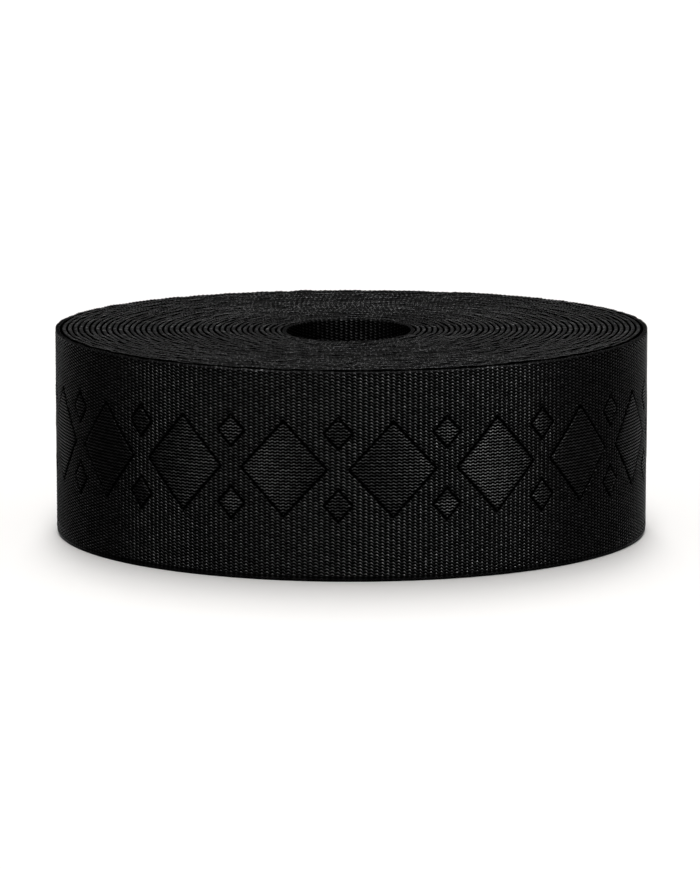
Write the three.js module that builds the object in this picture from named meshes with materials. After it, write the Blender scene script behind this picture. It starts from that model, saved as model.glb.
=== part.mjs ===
// A roll of heavy polyester webbing, wound on itself with no core and lying flat on its edge.
// Millimetres, +Z up. The origin is on the winding axis, in the plane that the roll rests on.
// The side towards -Y is the front: the webbing's outer end lies at the back, and its inner end
// at the front of the hole.
import * as THREE from "three";

// The webbing is a flat woven band with rounded edges
const WEBBING_WIDTH = 50;
const EDGE_ROUNDING = 0.55;
const WEBBING_COLOUR = 0x141415;

// The winding is a spiral that grows by one pitch in each turn
const HOLE_RADIUS = 14.7;
const TURN_PITCH = 1.4;
const TURNS = 41.4;
const INNER_END_ANGLE = THREE.MathUtils.degToRad(-75);
const STEPS_PER_TURN = 60;
const STEPS = Math.round(TURNS * STEPS_PER_TURN);

// The hole is longer from front to back, by this much at each end, and the turns around it are
// each a little rounder than the one before
const HOLE_STRETCH = 2;

// The last turn stands a little off the roll and lies a little lower, most of all at the front
const LAST_TURN_SLACK = 0.5;
const LAST_TURN_DROP = 0.25;

// The upper side has a ridge along each turn's edge and a groove between each two turns
const GROOVE_DEPTH = 0.75;
const LAST_GROOVE_DEPTH = 1.5;

// No two ridges are level: they wave below the highest one by these drops
const RIDGE_WAVES = [
  { drop: 0.16, wavesPerTurn: 0.381, phase: 0.4 },
  { drop: 0.1, wavesPerTurn: 1.13, phase: 2.1 },
  { drop: 0.14, wavesPerTurn: 0.043, phase: 1.2 },
];

const angleAt = (step) => INNER_END_ANGLE + (2 * Math.PI * step) / STEPS_PER_TURN;

// Rises from 0 to 1 and falls back to 0 over the last turn
function lastTurnBulge(step) {
  const turnsToEnd = (STEPS - step) / STEPS_PER_TURN;
  return turnsToEnd > 0 && turnsToEnd < 1 ? Math.sin(Math.PI * turnsToEnd) ** 2 : 0;
}

// The radius of the webbing's inner face at a step. Its outer face is one pitch further out.
function innerRadius(step) {
  const stretch = HOLE_STRETCH * (1 - step / STEPS) * Math.sin(angleAt(step)) ** 2;
  const slack = LAST_TURN_SLACK * lastTurnBulge(step);
  return HOLE_RADIUS + (TURN_PITCH * step) / STEPS_PER_TURN + stretch + slack;
}

// The groove between the turn that is at this step and the turn before it. Before the first turn
// is done it is the hole's rim, and past the last one it is the outer rim.
function grooveRadius(step) {
  if (step < STEPS_PER_TURN) return innerRadius(step);
  const outerFaceBefore = innerRadius(step - STEPS_PER_TURN) + TURN_PITCH;
  return step > STEPS ? outerFaceBefore : (outerFaceBefore + innerRadius(step)) / 2;
}

function grooveHeight(step) {
  const openness = step <= STEPS ? lastTurnBulge(step) : 0;
  return WEBBING_WIDTH - THREE.MathUtils.lerp(GROOVE_DEPTH, LAST_GROOVE_DEPTH, openness);
}

const ridgeRadius = (step) => innerRadius(step) + TURN_PITCH / 2;

function ridgeHeight(step) {
  const turns = step / STEPS_PER_TURN;
  const wave = ({ drop, wavesPerTurn, phase }) =>
    (drop * (1 + Math.sin(2 * Math.PI * wavesPerTurn * turns + phase))) / 2;
  const unevenness = RIDGE_WAVES.reduce((sum, row) => sum + wave(row), 0);
  return WEBBING_WIDTH - unevenness - LAST_TURN_DROP * lastTurnBulge(step);
}

// Points and triangles that together make one closed surface. A line is a list of point numbers.
class Surface {
  coordinates = [];
  triangles = [];

  // Adds a line of points from one step to another, and returns it
  line(firstStep, lastStep, radiusAt, heightAt) {
    const line = [];
    for (let step = firstStep; step <= lastStep; step++) {
      const angle = angleAt(step);
      const radius = radiusAt(step);
      line.push(this.coordinates.length / 3);
      this.coordinates.push(radius * Math.cos(angle), radius * Math.sin(angle), heightAt(step));
    }
    return line;
  }

  // Fills the band between two lines. With both running anticlockwise it faces up if the first
  // is the inner one, and it faces the axis if the first is straight below the second.
  band(first, second) {
    for (let i = 0; i + 1 < first.length; i++) {
      this.triangles.push(first[i], second[i], second[i + 1]);
      this.triangles.push(first[i], second[i + 1], first[i + 1]);
    }
  }

  // Fills a flat outline with triangles that meet at its first point
  fan(outline) {
    for (let i = 1; i + 1 < outline.length; i++) {
      this.triangles.push(outline[0], outline[i], outline[i + 1]);
    }
  }

  geometry() {
    const geometry = new THREE.BufferGeometry();
    geometry.setAttribute("position", new THREE.Float32BufferAttribute(this.coordinates, 3));
    geometry.setIndex(this.triangles);
    geometry.computeVertexNormals();
    return geometry;
  }
}

// One turn's upright face: its rim, the line where its lower edge starts to round, and its foot
function uprightFace(surface, grooves, firstStep, footInset) {
  const lastStep = firstStep + STEPS_PER_TURN;
  return {
    rim: grooves.slice(firstStep, lastStep + 1),
    bend: surface.line(firstStep, lastStep, grooveRadius, () => EDGE_ROUNDING),
    foot: surface.line(firstStep, lastStep, (step) => grooveRadius(step) + footInset, () => 0),
  };
}

// The flat underside, from the foot of the outside to the foot of the hole. Each foot line ends
// one pitch further out than it starts, so each has one small triangle of its own at that step.
function addUnderside(surface, outsideFoot, holeFoot) {
  const outerRing = outsideFoot.slice(0, STEPS_PER_TURN);
  const innerRing = [holeFoot[STEPS_PER_TURN], ...holeFoot.slice(1, STEPS_PER_TURN)];
  const offset = STEPS % STEPS_PER_TURN;
  const turnedInnerRing = [...innerRing.slice(offset), ...innerRing.slice(0, offset)];
  const closed = (ring) => [...ring, ring[0]];
  surface.band(closed(outerRing), closed(turnedInnerRing));
  surface.fan([outsideFoot[0], outsideFoot[STEPS_PER_TURN], outsideFoot[STEPS_PER_TURN - 1]]);
  surface.fan([holeFoot[STEPS_PER_TURN], holeFoot[0], holeFoot[1]]);
}

function roundRollGeometry() {
  const surface = new Surface();
  const grooves = surface.line(0, STEPS + STEPS_PER_TURN, grooveRadius, grooveHeight);
  const ridges = surface.line(0, STEPS, ridgeRadius, ridgeHeight);
  surface.band(grooves.slice(0, STEPS + 1), ridges);
  surface.band(ridges, grooves.slice(STEPS_PER_TURN));

  const hole = uprightFace(surface, grooves, 0, EDGE_ROUNDING);
  surface.band(hole.bend, hole.rim);
  surface.band(hole.foot, hole.bend);

  const outside = uprightFace(surface, grooves, STEPS, -EDGE_ROUNDING);
  surface.band(outside.rim, outside.bend);
  surface.band(outside.bend, outside.foot);
  addUnderside(surface, outside.foot, hole.foot);

  // The webbing's two cut ends, each a step of one pitch
  const start = (line) => line[0];
  const end = (line) => line[line.length - 1];
  const innerEnd = [start(hole.bend), start(hole.foot), end(hole.foot), end(hole.bend)];
  surface.fan([...innerEnd, end(hole.rim), start(ridges), start(hole.rim)]);
  const outerEnd = [end(outside.bend), end(outside.foot), start(outside.foot), start(outside.bend)];
  surface.fan([...outerEnd, start(outside.rim), end(ridges), end(outside.rim)]);
  return surface.geometry();
}

const webbing = new THREE.MeshStandardMaterial({
  name: "webbing",
  color: WEBBING_COLOUR,
  roughness: 0.62,
  metalness: 0,
});

const webbingRoll = new THREE.Mesh(roundRollGeometry(), webbing);
webbingRoll.name = "webbing_roll";

const roll = new THREE.Group();
roll.add(webbingRoll);

export default roll;
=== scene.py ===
import math

import bpy
import numpy as np
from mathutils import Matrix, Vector


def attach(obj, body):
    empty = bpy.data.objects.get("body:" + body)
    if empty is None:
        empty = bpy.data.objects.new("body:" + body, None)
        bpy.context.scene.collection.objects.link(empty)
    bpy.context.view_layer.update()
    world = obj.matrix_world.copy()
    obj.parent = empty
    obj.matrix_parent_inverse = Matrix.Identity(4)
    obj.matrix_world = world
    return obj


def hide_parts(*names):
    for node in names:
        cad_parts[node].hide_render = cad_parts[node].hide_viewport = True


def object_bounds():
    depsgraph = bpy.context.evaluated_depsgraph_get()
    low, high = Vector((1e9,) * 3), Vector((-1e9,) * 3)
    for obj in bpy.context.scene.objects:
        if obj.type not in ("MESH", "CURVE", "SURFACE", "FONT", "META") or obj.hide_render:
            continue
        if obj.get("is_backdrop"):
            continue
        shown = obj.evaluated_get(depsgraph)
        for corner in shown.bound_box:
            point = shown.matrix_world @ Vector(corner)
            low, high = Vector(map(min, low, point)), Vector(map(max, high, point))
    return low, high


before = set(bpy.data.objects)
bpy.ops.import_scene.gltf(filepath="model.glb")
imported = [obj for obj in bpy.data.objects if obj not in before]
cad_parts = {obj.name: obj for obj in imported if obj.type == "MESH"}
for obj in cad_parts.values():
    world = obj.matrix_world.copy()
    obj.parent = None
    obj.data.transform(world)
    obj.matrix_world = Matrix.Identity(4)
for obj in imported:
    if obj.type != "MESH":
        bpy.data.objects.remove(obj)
cad_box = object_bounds()

MM = 0.001

# The webbing and its winding, in millimetres. Width, hole, pitch and turns are those of the
# solid. Here each turn is a band of its own, a little thinner than the pitch.
WEBBING_WIDTH = 50.0
THICKNESS = 1.06
HOLE_RADIUS = 14.7
HOLE_STRETCH = 2.0
TURN_PITCH = 1.4
TURNS = 41.4
INNER_END_ANGLE = math.radians(-75)

# How far the last turn stands off the roll, and over what part of a turn it comes away
LAST_TURN_SLACK = 0.2
LAST_TURN_EASE = 0.1

# The turns lie a little looser towards the back, most of all the outer ones
BACK_SWELL = 0.27

# How far the upper edges rise above the width: outside, with more at the front and sides, and
# at the hole, with more at its back. The last turn dips at the front.
OUTER_RISE = 0.45
FRONT_RISE = 0.2
SIDE_RISE = 0.5
HOLE_RISE = 0.22
HOLE_TILT = 0.28
LAST_TURN_DIP = 0.35

# How the upper edges wave from turn to turn: drop, waves per turn, phase. The last turns are level.
RIDGE_WAVES = [
    (0.07, 0.381, 0.4),
    (0.05, 1.13, 2.1),
    (0.14, 0.043, 1.2),
]
LEVEL_TURNS = 2

# The weft's loops make each upper edge uneven, more at the front than at the back. Each loop
# lifts the steps beside it too.
EDGE_UNEVENNESS = 0.034
FRONT_UNEVENNESS = 0.2
LOOP_SPREAD = (0.5, 1, 1, 1, 0.5)

# The weave, in millimetres: a pick is one column of floats, and a row is two warp yarns high
PICK = 1.3
ROWS = 66
ROW = WEBBING_WIDTH / ROWS

# In rows, how far the plain weave's floats climb with each pick, and how far both weaves sway
PICK_CLIMB = 0.5
PLAIN_SWAY = 0.25
FINE_SWAY = 0.17

# How far the weave stands out, in millimetres, the fine floats' share of that, and how much
# single floats vary
FLOAT_RELIEF = 0.06
PICK_RELIEF = 0.09
EDGE_RELIEF = 0.01
FINE_SHARE = 0.6
FLOAT_VARIATION = 0.25

# The mesh has two steps for each pick and two levels for each row. A few levels near the lower
# edge are left out, so that no piece is over 200,000 triangles.
STEP = PICK / 2
LEVEL = ROW / 2
WOVEN_LEVELS = [4, *range(9, 2 * ROWS - 2)]
SHARP_ANGLE = math.radians(75)

# How often in each turn the length of the wound webbing is worked out
MARKS_PER_TURN = 200

# A row of large lozenges with small ones nestled between them, in millimetres: each lozenge's
# half length and half height, and the groove round it
MOTIF_REPEAT = 20 * PICK
MOTIF_HEIGHT = 26.7
LARGE_LOZENGE = (10.4, 11.4)
SMALL_LOZENGE = (3.4, 3.8)
SMALL_LOZENGE_RISE = 8.6
MOTIF_RELIEF = 0.1
OUTLINE_WIDTH = 0.75
OUTLINE_DEPTH = 0.16

# The light that gets into the gaps between the turns and to the faces that show, from 0 to 1,
# painted into the webbing's colour and gloss as shade
GAP_LIGHT = 0.04
HOLE_LIGHT = 0.35
OUTER_LIGHT = 1.0

# A turn's upper edge, from its outer side: place across the half thickness, distance below the
# top, and how far its beads stand out. The outermost edge has larger beads.
UPPER_EDGE = [
    (1.0, 0.45, 0.0),
    (0.92, 0.16, 0.012),
    (0.82, 0.06, 0.015),
    (0.7, 0.022, 0.015),
    (0.5, 0.005, 0.01),
    (0.0, 0.0, 0.0),
    (-0.5, 0.005, -0.01),
    (-0.7, 0.022, -0.015),
    (-0.82, 0.06, -0.015),
    (-0.92, 0.16, -0.012),
    (-1.0, 0.45, 0.0),
]
OUTER_BEADS = 7.0

# The light painted on each of those points. Shoulders that face another turn are in its painted
# shade, and the crowns of the outer and inner turns are painted darker too.
UPPER_LIGHT = {
    "outer": (0.8, 1, 1, 1, 0.3, 0.3, 0.3, 0.8, 0.15, 0.01, 0),
    "middle": (0, 0.01, 0.15, 0.8, 1, 1, 1, 0.8, 0.15, 0.01, 0),
    "inner": (0, 0.01, 0.15, 0.8, 0.3, 0.3, 0.3, 0.6, 0.6, 0.8, HOLE_LIGHT),
}

# 1 where a point of the upper edge looks like an edge, and 0 where it looks like a face
UPPER_LOOK = {
    "outer": (0, 0.4, 0.8, 1, 1, 1, 1, 1, 1, 1, 1),
    "middle": (1, 1, 1, 1, 1, 1, 1, 1, 1, 1, 1),
    "inner": (1, 1, 1, 1, 1, 1, 1, 1, 1, 0.5, 0),
}

# The lower edge, from its inner side: place across, height and painted light, dim along the edge.
# The last point is a painted dark line of shade over the selvedge.
LOWER_EDGE = [
    (-0.7, 0.08, 0.35),
    (0.0, 0.0, 0.35),
    (0.7, 0.08, 0.35),
    (1.0, 0.5, 1.0),
    (1.0, 1.0, 0.0),
]

# A face that doesn't show has one point alone, at this height, below its straight stretch
PLAIN_FACE_HEIGHT = 0.8

# The turns that the inner and the outer piece cover. The pieces between overlap with both.
INNER_TURN = (0.0, 1.04)
OUTER_TURN = (40.385, TURNS)
OVERLAP = 0.01
MIDDLE_PIECES = 4

# Smooth ramps of the material: the values between which each one runs, and what it runs from and
# to. They say what is inside a lozenge, what is on its outline, what of the weave's wave is a
# float, how a float shines along a pick, and how the gloss changes from place to place.
INSIDE_RAMP = (-0.1, 0.1, 1.0, 0.0)
OUTLINE_RAMP = (0.1, 0.6, 1.0, 0.0)
# The float, plain and fine ramps shape the painted sheen on the floats and the painted shade
# between them
FLOAT_RAMP = (-0.15, 0.75, 0.0, 1.0)
PLAIN_RAMP = (-0.4, 1.0, 0.33, 1.0)
FINE_RAMP = (-1.0, 0.6, 0.34, 0.76)
PATCH_RAMP = (0.3, 0.7, 0.7, 1.3)

# The webbing in the gaps of its weave, on its floats and along its edges. The darker colour is
# painted shade in the weave's hollows and between the turns, and the lighter one is the yarn's
# near-black with a painted sheen where the floats are lit.
PAINTED_SHADE_COLOUR = (0.0004, 0.0004, 0.0004, 1)
LIT_FLOAT_COLOUR = (0.0035, 0.0035, 0.0036, 1)
GAP_ROUGHNESS = 0.6
FLOAT_ROUGHNESS = 0.28
EDGE_ROUGHNESS = 0.14
SPECULAR = 0.6

# In the painted shade the floats' tops alone keep their painted sheen. The gloss varies from float
# to float and in patches.
SHADE_CONTRAST = 3.0
FLOAT_GLOSS = (0.65, 1.35)
PATCH_SCALE = 0.9
PATCH_DETAIL = 3.0

# How many rows less the plain weave sways in the bump
BUMP_SWAY = 0.07

FLOOR_SIZE = 30
FLOOR_COLOUR = (0.93, 0.915, 0.90, 1)

# The camera, in metres, with a lens and sensor in millimetres
CAMERA_DISTANCE = 1.2476
CAMERA_HEIGHT = 0.2261
CAMERA_TILT = math.radians(9.224)
CLIP_START = 0.05
LENS = 209.06
SENSOR_HEIGHT = 36.0

# Softboxes that the webbing's sheen reflects: azimuth from the front towards +X, elevation,
# distance, width and height in metres, and radiance
SOFTBOXES = {
    "front_left": (-40, 22, 1.3, 0.30, 0.5, 25.0),
    "front_right": (49, 22, 1.3, 0.30, 0.5, 40.0),
    "side_left": (-100, -3, 1.3, 1.1, 0.5, 0.06),
    "side_right": (100, -3, 1.3, 1.1, 0.5, 0.25),
    "table_left": (-153, -8, 1.3, 1.1, 0.25, 1.3),
    "table_right": (152, -8, 1.3, 1.2, 0.25, 1.4),
    "back": (180, 2, 1.6, 1.0, 0.08, 1.7),
    "back_high": (180, 30, 1.6, 1.2, 0.6, 0.4),
    "front_high": (0, 30, 1.6, 1.6, 0.6, 0.4),
    "left_high": (-90, 30, 1.6, 1.2, 0.6, 0.15),
    "right_high": (90, 30, 1.6, 1.2, 0.6, 0.15),
    "top": (0, 70, 1.3, 0.9, 0.9, 1.2),
    "hole": (0, 22, 1.3, 3.0, 0.3, 20.0),
}

# The softboxes that light one piece only
SPOTS = {
    "front_left": "webbing_outer_turn",
    "front_right": "webbing_outer_turn",
    "hole": "webbing_inner_turn",
}

# The overhead strip light that gives the floor its shadow: a row of soft lamps, each with its
# angle from straight up towards the back
STRIP_ANGLES = (-20, -5, 10, 25, 40)
STRIP_LAMP_SIZE = math.radians(17)
STRIP_IRRADIANCE = 2.65
SKY_RADIANCE = 0.32


def wound_angle(turns):
    return INNER_END_ANGLE + 2 * math.pi * turns


def on_last_turn(turns):
    """1 on the last turn, 0 before it, and a short slope between."""
    to_end = TURNS - turns
    return np.clip(np.minimum(to_end, 1 - to_end) / LAST_TURN_EASE, 0, 1)


def middle_radius(turns):
    """The radius of the webbing's middle line, in millimetres."""
    outward = turns / TURNS
    to_back = np.sin(wound_angle(turns))
    stretch = HOLE_STRETCH * (1 - outward) * to_back**2
    swell = BACK_SWELL * outward * (1 + to_back)
    slack = LAST_TURN_SLACK * on_last_turn(turns)
    return HOLE_RADIUS + TURN_PITCH * (turns + 0.5) + stretch + swell + slack


def upper_rise(turns):
    """How far the upper edge lies above the webbing's nominal width, in millimetres."""
    outward = turns / TURNS
    to_back = np.sin(wound_angle(turns))
    to_side = np.cos(wound_angle(turns))
    rise = outward * (OUTER_RISE - FRONT_RISE * to_back + SIDE_RISE * to_side**2)
    rise = rise + (1 - outward) * (HOLE_RISE + HOLE_TILT * to_back)
    wavy = np.clip(TURNS - LEVEL_TURNS - turns, 0, 1)
    for most, waves_per_turn, phase in RIDGE_WAVES:
        ridge_wave = np.sin(2 * math.pi * waves_per_turn * turns + phase)
        rise = rise - wavy * most * (1 + ridge_wave) / 2
    return rise - LAST_TURN_DIP * on_last_turn(turns) * np.sqrt(np.clip(-to_back, 0, 1))


# The length of webbing that is wound up at each of these turns
TURN_MARKS = np.linspace(0, TURNS, round(TURNS * MARKS_PER_TURN) + 1)
LENGTH_MARKS = np.cumsum(2 * math.pi * middle_radius(TURN_MARKS)) * TURN_MARKS[1]


def length_wound(turns):
    return np.interp(turns, TURN_MARKS, LENGTH_MARKS)


def turns_wound(length):
    return np.interp(length, LENGTH_MARKS, TURN_MARKS)


def steps_between(first_turns, last_turns):
    """The numbers of the mesh steps along this stretch of the webbing."""
    first = math.ceil(length_wound(first_turns) / STEP)
    last = math.floor(length_wound(last_turns) / STEP)
    return np.arange(first, last + 1)


class Wire:
    """The output of a node in a material. Sums with wires add the nodes that work them out."""

    def __init__(self, socket):
        self.socket = socket
        self.tree = socket.id_data

    def math(self, operation, *values):
        return new_wire(self.tree, "ShaderNodeMath", dict(enumerate(values)), operation=operation)

    def __add__(self, other):
        return self.math("ADD", self, other)

    def __sub__(self, other):
        return self.math("SUBTRACT", self, other)

    def __rsub__(self, other):
        return self.math("SUBTRACT", other, self)

    def __mul__(self, other):
        return self.math("MULTIPLY", self, other)

    def __truediv__(self, other):
        return self.math("DIVIDE", self, other)

    def __mod__(self, other):
        return self.math("FLOORED_MODULO", self, other)

    def __pow__(self, other):
        return self.math("POWER", self, other)

    def __abs__(self):
        return self.math("ABSOLUTE", self)

    def __round__(self):
        return self.math("ROUND", self)

    __rmul__ = __mul__


def put(socket, value):
    """Links a wire to a node's input, or sets the input to a plain value."""
    if isinstance(value, Wire):
        value.tree.links.new(value.socket, socket)
    else:
        socket.default_value = value


def new_wire(tree, kind, inputs, output=0, **settings):
    """Adds a node and returns one of its outputs."""
    node = tree.nodes.new(kind)
    for name, value in settings.items():
        setattr(node, name, value)
    for key, value in inputs.items():
        put(node.inputs[key], value)
    return Wire(node.outputs[output])


def mix(share, first, second):
    """The first where the share is 0 and the second where it is 1."""
    return new_wire(share.tree, "ShaderNodeMix", {0: share, 2: first, 3: second})


def ramp(value, start, end, low, high):
    """Runs smoothly from low to high while the value goes from start to end."""
    inputs = {"Value": value, "From Min": start, "From Max": end, "To Min": low, "To Max": high}
    kind = "ShaderNodeMapRange"
    return new_wire(value.tree, kind, inputs, "Result", interpolation_type="SMOOTHSTEP")


# The weave's formulas take numbers for the mesh, and wires for the material


def wave(cycles):
    """1 at each whole number of cycles and -1 halfway between."""
    turn = 2 * math.pi * cycles
    return turn.math("COSINE", turn) if isinstance(turn, Wire) else np.cos(turn)


def smaller(first, second):
    if isinstance(first, Wire):
        return first.math("MINIMUM", first, second)
    return np.minimum(first, second)


def plain_phase(picks, rows):
    """A whole number at the middle of each float of the plain weave."""
    return rows + PICK_CLIMB * picks + PLAIN_SWAY * (1 - wave(picks))


def fine_phase(picks, rows):
    """A whole number at the middle of each float inside the lozenges."""
    return rows + FINE_SWAY * (1 - wave(picks))


def lozenge(along, up, half_length, half_height):
    """Negative inside a lozenge and positive outside it, in millimetres across its side."""
    across = half_length * half_height / math.hypot(half_length, half_height)
    return (abs(along) / half_length + abs(up) / half_height - 1) * across


def motif_distance(along, up):
    """The distance to the nearest lozenge's side, negative inside it."""
    from_large = (along / MOTIF_REPEAT + 0.5) % 1 * MOTIF_REPEAT - MOTIF_REPEAT / 2
    from_small = along / MOTIF_REPEAT % 1 * MOTIF_REPEAT - MOTIF_REPEAT / 2
    large = lozenge(from_large, up - MOTIF_HEIGHT, *LARGE_LOZENGE)
    small = lozenge(from_small, abs(up - MOTIF_HEIGHT) - SMALL_LOZENGE_RISE, *SMALL_LOZENGE)
    return smaller(large, small)


def face_relief(along, up, seed):
    """How far the woven face stands out at a point, in millimetres."""
    picks, rows = along / PICK, up / ROW
    distance = motif_distance(along, up)
    inside = distance < 0
    plain = wave(plain_phase(picks, rows))
    fine = FINE_SHARE * wave(fine_phase(picks, rows))
    floats = FLOAT_RELIEF * np.where(inside, fine, plain)
    floats *= 1 + FLOAT_VARIATION * np.random.default_rng(seed).uniform(-1, 1, floats.shape)
    groove = OUTLINE_DEPTH * np.clip(1 - abs(distance) / OUTLINE_WIDTH, 0, 1)
    return floats + PICK_RELIEF / 2 * wave(picks) + MOTIF_RELIEF * inside - groove


def face_points(side, woven, light):
    """One face of a turn's outline, from below. Only a face that shows has the weave's levels."""
    if woven:
        return [(side, level * LEVEL, 0, 1, 0, light) for level in WOVEN_LEVELS]
    return [(side, PLAIN_FACE_HEIGHT, 0, 0, 0, GAP_LIGHT)]


def turn_section(place):
    """A turn's outline, up its outer face and down its inner one. The columns are the place across,
    the height, the bead, 1 on a woven face, 1 on an edge, and the light painted on it as shade."""
    points = face_points(1, place == "outer", OUTER_LIGHT)
    bead_size = OUTER_BEADS if place == "outer" else 1
    upper = zip(UPPER_EDGE, UPPER_LOOK[place], UPPER_LIGHT[place])
    for (across, depth, bead), look, light in upper:
        points.append((across, WEBBING_WIDTH - depth, bead * bead_size, 0, look, light))
    points += face_points(-1, place == "inner", HOLE_LIGHT)[::-1]
    points += [(across, height, 0, 0, 1, light) for across, height, light in LOWER_EDGE]
    return np.array(points, float).T


def edge_unevenness(turns, seed):
    """How far the weft's loops lift or lower the upper edge at each step, in millimetres."""
    loops = np.random.default_rng(seed).normal(0, EDGE_UNEVENNESS, len(turns))
    loops = np.convolve(loops, LOOP_SPREAD, "same")
    return loops[:, None] * (1 - FRONT_UNEVENNESS * np.sin(wound_angle(turns)))


def wound_webbing(name, steps, place="middle"):
    """One stretch of the wound webbing, with the weave raised on a face that shows."""
    across, height, bead, woven, edge, light = turn_section(place)
    seed = len(steps)
    along = (steps * STEP)[:, None]
    turns = turns_wound(along)
    bead_side = np.where(steps % 2 == 0, 1, -1)[:, None]

    offset = across * THICKNESS / 2 + bead * bead_side
    offset += woven * across * face_relief(along, height, seed)
    up = height * (1 + upper_rise(turns) / WEBBING_WIDTH) + bead * bead_side
    up += edge * (height > WEBBING_WIDTH / 2) * edge_unevenness(turns, seed)

    angle = wound_angle(turns)
    radius = middle_radius(turns) + offset
    points = np.stack((radius * np.cos(angle), radius * np.sin(angle), up), axis=-1)
    mesh = band_mesh(name, points * MM)
    add_weave_map(mesh, steps / 2, section_rows(across, height))
    add_attribute(mesh, "edge", edge, len(steps))
    # The light painted into the colour and gloss as shade, the same at each step
    add_attribute(mesh, "open_light", light, len(steps))
    piece = bpy.data.objects.new(name, mesh)
    bpy.context.scene.collection.objects.link(piece)
    return piece


def section_rows(across, height):
    """The weave's rows counted round the outline, and once more at its start."""
    x = np.append(across, across[0]) * THICKNESS / 2
    z = np.append(height, height[0])
    distance = np.concatenate(([0], np.cumsum(np.hypot(np.diff(x), np.diff(z)))))
    return (distance + height[0]) / ROW


def band_mesh(name, points):
    """A closed band through points[step, corner], with a cap at each end."""
    steps, corners = points.shape[:2]
    index = np.arange(steps * corners).reshape(steps, corners)
    after = np.roll(index, -1, axis=1)
    quads = np.stack((index[:-1], index[1:], after[1:], after[:-1]), axis=-1).reshape(-1)
    loops = np.concatenate((quads, index[0], index[-1][::-1]))
    cap_starts = [len(quads), len(quads) + corners]
    starts = np.concatenate((np.arange(0, len(quads), 4), cap_starts))

    mesh = bpy.data.meshes.new(name)
    mesh.vertices.add(steps * corners)
    mesh.vertices.foreach_set("co", points.astype(np.float32).ravel())
    mesh.loops.add(len(loops))
    mesh.loops.foreach_set("vertex_index", loops.astype(np.int32))
    mesh.polygons.add(len(starts))
    mesh.polygons.foreach_set("loop_start", starts.astype(np.int32))
    mesh.update(calc_edges=True)
    mesh.validate()
    mesh.polygons.foreach_set("use_smooth", np.ones(len(starts), bool))
    mesh.set_sharp_from_angle(angle=SHARP_ANGLE)
    return mesh


def add_weave_map(mesh, picks, rows):
    """A UV map that counts picks along the band and rows round it."""
    sides = np.empty((len(picks) - 1, len(rows) - 1, 4, 2))
    sides[..., 0] = np.stack((picks[:-1], picks[1:], picks[1:], picks[:-1]), axis=-1)[:, None]
    sides[..., 1] = np.stack((rows[:-1], rows[:-1], rows[1:], rows[1:]), axis=-1)
    first_cap = [(picks[0], row) for row in rows[:-1]]
    last_cap = [(picks[-1], row) for row in rows[-2::-1]]
    layer = mesh.uv_layers.new(name="weave")
    places = np.concatenate((sides.reshape(-1, 2), first_cap, last_cap))
    layer.uv.foreach_set("vector", places.astype(np.float32).ravel())


def add_attribute(mesh, name, corner_values, steps):
    """Gives the corners of the outline their own values, the same at each step."""
    attribute = mesh.attributes.new(name, "FLOAT", "POINT")
    attribute.data.foreach_set("value", np.tile(corner_values, steps).astype(np.float32))


def gloss_variation(uv, picks, phase):
    """Makes some patches and some single floats shine more than others."""
    inputs = {"Vector": uv, "Scale": PATCH_SCALE, "Detail": PATCH_DETAIL}
    patches = new_wire(uv.tree, "ShaderNodeTexNoise", inputs, noise_dimensions="2D")
    cell = new_wire(uv.tree, "ShaderNodeCombineXYZ", {0: round(picks), 1: round(phase)})
    inputs = {"Vector": cell}
    chance = new_wire(uv.tree, "ShaderNodeTexWhiteNoise", inputs, noise_dimensions="2D")
    return ramp(patches, *PATCH_RAMP) * mix(chance, *FLOAT_GLOSS)


def painted_float_shine(picks, phase, inside, outline, edge, light):
    """The painted sheen and shade: how much of a place is shiny float, from 0 in the gaps to 1 on
    the floats' tops, darker along the lozenges' outlines, and times the painted light, so that it
    is darkest in the painted shade between the turns.
    """
    plain_shine = ramp(wave(picks), *PLAIN_RAMP)
    fine_shine = ramp(wave(2 * picks), *FINE_RAMP)
    floats = ramp(wave(phase), *FLOAT_RAMP) * mix(inside, plain_shine, fine_shine)
    painted_shine = mix(edge, floats * (1 - outline), plain_shine)
    return painted_shine ** mix(light, SHADE_CONTRAST, 1.0) * light


def fine_relief(picks, phase, inside, outline, edge):
    """The relief that is too fine for the mesh, in millimetres."""
    sway = mix(inside, BUMP_SWAY * (1 - wave(picks)), 0.0)
    arch = mix(inside, PICK_RELIEF / 2 * wave(picks), 0.0)
    face = FLOAT_RELIEF * wave(phase - sway) + arch
    return mix(edge, face, EDGE_RELIEF * wave(picks)) - OUTLINE_DEPTH * outline


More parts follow.
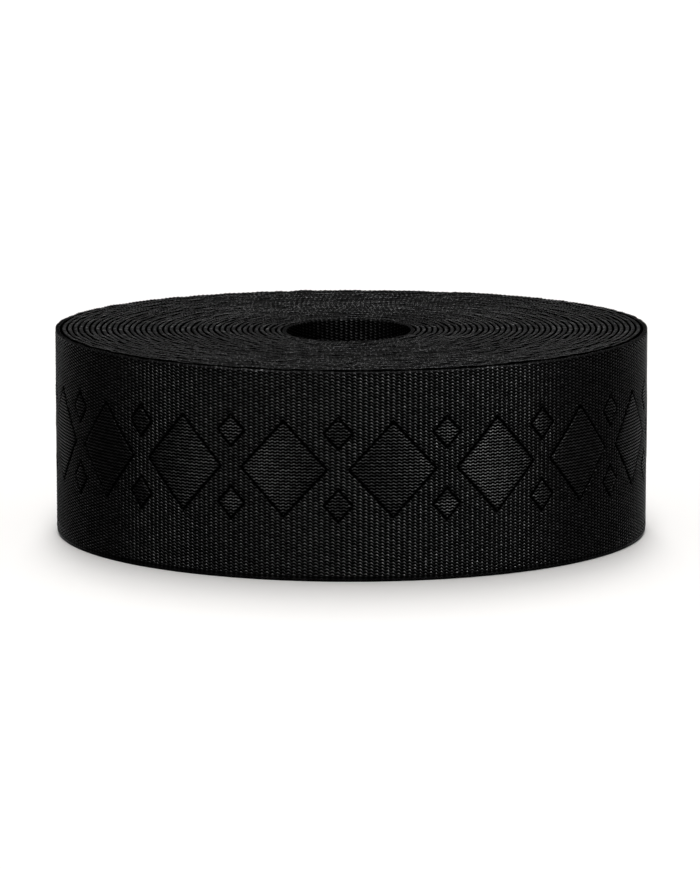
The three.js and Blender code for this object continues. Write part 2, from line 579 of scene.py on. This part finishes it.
def webbing_material():
    material = bpy.data.materials.new("webbing")
    material.use_nodes = True
    tree = material.node_tree
    uv = new_wire(tree, "ShaderNodeUVMap", {}, uv_map="weave")
    picks = new_wire(tree, "ShaderNodeSeparateXYZ", {0: uv}, "X")
    rows = new_wire(tree, "ShaderNodeSeparateXYZ", {0: uv}, "Y")
    edge = new_wire(tree, "ShaderNodeAttribute", {}, "Fac", attribute_name="edge")
    # The painted light, which darkens the colour and gloss as painted shade
    light = new_wire(tree, "ShaderNodeAttribute", {}, "Fac", attribute_name="open_light")

    distance = motif_distance(picks * PICK, rows * ROW)
    inside = ramp(distance, *INSIDE_RAMP)
    outline = ramp(abs(distance), *OUTLINE_RAMP)
    phase = mix(inside, plain_phase(picks, rows), fine_phase(picks, rows))
    painted_shine = painted_float_shine(picks, phase, inside, outline, edge, light)
    # The painted sheen and shade, with gloss that varies at random, sets both the colour and the
    # specular level
    shade_and_gloss = painted_shine * gloss_variation(uv, picks, phase)

    # The colour runs from the painted shade in the gaps to the floats' painted sheen
    colours = {0: shade_and_gloss, 6: PAINTED_SHADE_COLOUR, 7: LIT_FLOAT_COLOUR}
    shiny = mix(edge, FLOAT_ROUGHNESS, EDGE_ROUGHNESS)
    height = fine_relief(picks, phase, inside, outline, edge)
    bump = {"Height": height, "Strength": 1.0, "Distance": MM}
    shader = tree.nodes["Principled BSDF"].inputs
    put(shader["Base Color"], new_wire(tree, "ShaderNodeMix", colours, 2, data_type="RGBA"))
    put(shader["Roughness"], ramp(painted_shine, 0.0, 1.0, GAP_ROUGHNESS, shiny))
    put(shader["Specular IOR Level"], shade_and_gloss * SPECULAR)
    put(shader["Normal"], new_wire(tree, "ShaderNodeBump", bump))
    return material


def middle_steps():
    """The steps of each piece between the inner and the outer turn. Each shares its last step
    with the next one."""
    first, last = INNER_TURN[1] - OVERLAP, OUTER_TURN[0] + OVERLAP
    lengths = np.linspace(length_wound(first), length_wound(last), MIDDLE_PIECES + 1)
    bounds = turns_wound(lengths)
    for start, end in zip(bounds[:-1], bounds[1:]):
        steps = steps_between(start, end)
        yield np.append(steps, steps[-1] + 1)


def add_webbing():
    pieces = [
        wound_webbing("webbing_inner_turn", steps_between(*INNER_TURN), "inner"),
        wound_webbing("webbing_outer_turn", steps_between(*OUTER_TURN), "outer"),
    ]
    for number, steps in enumerate(middle_steps(), start=1):
        pieces.append(wound_webbing(f"webbing_turns_{number}", steps))
    material = webbing_material()
    for piece in pieces:
        piece.data.materials.append(material)
        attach(piece, "root")
        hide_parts("webbing_roll")


def add_floor():
    bpy.ops.mesh.primitive_plane_add(size=FLOOR_SIZE)
    floor = bpy.context.object
    floor.name = "floor"
    material = bpy.data.materials.new("floor")
    material.use_nodes = True
    shader = material.node_tree.nodes["Principled BSDF"]
    shader.inputs["Base Color"].default_value = FLOOR_COLOUR
    shader.inputs["Roughness"].default_value = 1.0
    shader.inputs["Specular IOR Level"].default_value = 0.0
    floor.data.materials.append(material)
    floor.visible_glossy = False
    floor.visible_shadow = False
    floor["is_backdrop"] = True


def light_only(lamp, piece_name):
    """Lets a lamp light one piece alone."""
    receivers = bpy.data.collections.new(lamp.name)
    receivers.objects.link(bpy.data.objects[piece_name])
    lamp.light_linking.receiver_collection = receivers


def add_softbox(name, azimuth, elevation, distance, width, height, radiance):
    turn, rise = math.radians(azimuth), math.radians(elevation)
    level = Vector((math.sin(turn), -math.cos(turn), 0)) * math.cos(rise)
    direction = level + Vector((0, 0, math.sin(rise)))
    data = bpy.data.lights.new(name, "AREA")
    data.shape = "RECTANGLE"
    data.size = width
    data.size_y = height
    data.energy = radiance * math.pi * width * height
    lamp = bpy.data.objects.new(name, data)
    lamp.location = Vector((0, 0, WEBBING_WIDTH * MM / 2)) + direction * distance
    lamp.rotation_euler = direction.to_track_quat("Z", "Y").to_euler()
    lamp.visible_diffuse = False
    lamp.visible_camera = False
    if name in SPOTS:
        light_only(lamp, SPOTS[name])
    bpy.context.scene.collection.objects.link(lamp)


def add_softboxes():
    for name, values in SOFTBOXES.items():
        add_softbox(name, *values)


def add_strip_light():
    angles = [math.radians(angle) for angle in STRIP_ANGLES]
    lamp_irradiance = STRIP_IRRADIANCE / sum(math.cos(angle) for angle in angles)
    for number, angle in enumerate(angles, start=1):
        data = bpy.data.lights.new(f"strip_{number}", "SUN")
        data.energy = lamp_irradiance
        data.angle = STRIP_LAMP_SIZE
        lamp = bpy.data.objects.new(f"strip_{number}", data)
        lamp.rotation_euler = (-angle, 0, 0)
        lamp.visible_glossy = False
        bpy.context.scene.collection.objects.link(lamp)


def add_sky():
    world = bpy.data.worlds.new("studio")
    bpy.context.scene.world = world
    world.use_nodes = True
    background = world.node_tree.nodes["Background"]
    background.inputs["Color"].default_value = (1, 1, 1, 1)
    background.inputs["Strength"].default_value = SKY_RADIANCE
    world.cycles_visibility.glossy = False


def add_camera():
    data = bpy.data.cameras.new("camera")
    data.sensor_fit = "VERTICAL"
    data.sensor_height = SENSOR_HEIGHT
    data.lens = LENS
    data.clip_start = CLIP_START
    camera = bpy.data.objects.new("camera", data)
    camera.location = (0, -CAMERA_DISTANCE, CAMERA_HEIGHT)
    camera.rotation_euler = (math.pi / 2 - CAMERA_TILT, 0, 0)
    bpy.context.scene.collection.objects.link(camera)
    bpy.context.scene.camera = camera


add_camera()
add_webbing()
add_floor()
add_softboxes()
add_strip_light()
add_sky()
bpy.context.scene.view_settings.view_transform = "Standard"

boxes = {"cad": cad_box, "visual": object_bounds()}
{name: [list(corner) for corner in box] for name, box in boxes.items()}
